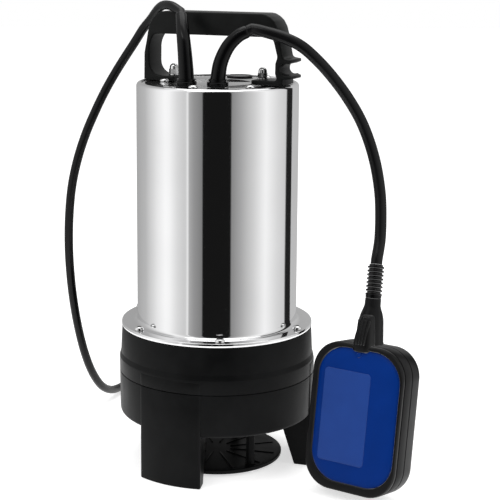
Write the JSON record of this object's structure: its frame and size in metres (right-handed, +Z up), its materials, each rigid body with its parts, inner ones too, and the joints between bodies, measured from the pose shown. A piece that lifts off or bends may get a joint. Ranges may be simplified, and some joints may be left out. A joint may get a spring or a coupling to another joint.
{
  "type": "submersible sump pump",
  "caption": "Upright submersible pump with a steel motor can, black legged casing, carry handle, rear hose elbow and a float switch that hangs from its cord",
  "frame": {"origin": "on the floor, under the middle of the footprint of the pump and its float, cords left out", "axes": "+Z up along the motor shaft, -Y towards the front where the cables leave the cover, +X towards the float"},
  "size_m": [0.3087, 0.4529, 0.4047],
  "materials": {
    "polished_steel": "polished deep-drawn stainless steel",
    "fastener_steel": "bright stainless steel fasteners, shaft and bearings",
    "black_plastic": "satin black moulded glass-filled plastic",
    "black_rubber": "moulded black rubber",
    "cord_sheath": "smooth black cable sheath",
    "blue_plastic": "smooth vivid blue moulded plastic",
    "grey_plastic": "plain grey moulded plastic",
    "core_steel": "stacked electrical steel sheets",
    "cast_aluminium": "die-cast aluminium",
    "copper_winding": "varnished copper winding",
    "plug_brass": "bright brass",
    "seal_ceramic": "ground ceramic seal face"
  },
  "bodies": {
    "pump": {"motor_can": "polished_steel", "top_cover": "polished_steel", "handle_nut_left": "fastener_steel", "handle_nut_right": "fastener_steel", "cover_screw_1": "fastener_steel", "cover_screw_2": "fastener_steel", "cover_screw_3": "fastener_steel", "cover_screw_4": "fastener_steel", "cover_screw_5": "fastener_steel", "flange_screw_1": "fastener_steel", "flange_screw_2": "fastener_steel", "flange_screw_3": "fastener_steel", "flange_screw_4": "fastener_steel", "flange_screw_5": "fastener_steel", "flange_screw_6": "fastener_steel", "suction_screw_1": "fastener_steel", "suction_screw_2": "fastener_steel", "suction_screw_3": "fastener_steel", "upper_bearing": "fastener_steel", "lower_bearing": "fastener_steel", "handle": "black_plastic", "upper_casing": "black_plastic", "volute_casing": "black_plastic", "suction_plate": "black_plastic", "discharge_elbow": "black_plastic", "outlet_nut": "black_plastic", "power_cable_boot": "black_rubber", "float_cable_boot": "black_rubber", "oil_plug": "black_rubber", "casing_gasket": "black_rubber", "shaft_lip_seal": "black_rubber", "plug_body": "black_rubber", "cord_tie": "black_rubber", "power_cord": "cord_sheath", "power_cord_coil": "cord_sheath", "run_capacitor": "grey_plastic", "stator_core": "core_steel", "upper_bearing_bracket": "cast_aluminium", "lower_bearing_bracket": "cast_aluminium", "oil_chamber": "cast_aluminium", "upper_stator_winding": "copper_winding", "lower_stator_winding": "copper_winding", "plug_blade_left": "plug_brass", "plug_blade_right": "plug_brass", "plug_earth_pin": "plug_brass", "seal_seat": "seal_ceramic"},
    "rotor": {"motor_shaft": "fastener_steel", "rotor_core": "core_steel", "impeller": "black_plastic", "impeller_nut": "fastener_steel", "seal_ring": "seal_ceramic"},
    "float": {"float_front_shell": "black_plastic", "float_rear_shell": "black_plastic", "float_face": "blue_plastic", "float_strain_relief": "black_rubber", "float_switch_block": "grey_plastic", "float_cord": "cord_sheath"},
    "ball": {"float_ball": "fastener_steel"},
    "lever": {"switch_lever": "fastener_steel"}
  },
  "joints": [
    {"name": "rotor_spin", "type": "hinge", "parent": "pump", "child": "rotor", "pos_m": [-0.0412, -0.0088, 0.18], "axis": [0, 0, 1], "continuous": true},
    {"name": "float_swing", "type": "hinge", "parent": "pump", "child": "float", "pos_m": [-0.0166, -0.0488, 0.3819], "axis": [-0.4537, -0.8911, 0], "range_deg": [0, 75], "deforming": ["float_cord"]},
    {"name": "float_ball_roll", "type": "slide", "parent": "float", "child": "ball", "axis": [0.0869, 0.1259, 0.9882], "range_m": [0, 0.036]},
    {"name": "switch_lever_turn", "type": "hinge", "parent": "float", "child": "lever", "pos_m": [0.07879, -0.08879, 0.08053], "axis": [-0.5612, -0.8134, 0.153], "range_deg": [0, 12]}
  ],
  "couplings": [
    {"joint": "switch_lever_turn", "follows": "float_ball_roll", "rad_per_m": 5.8}
  ]
}
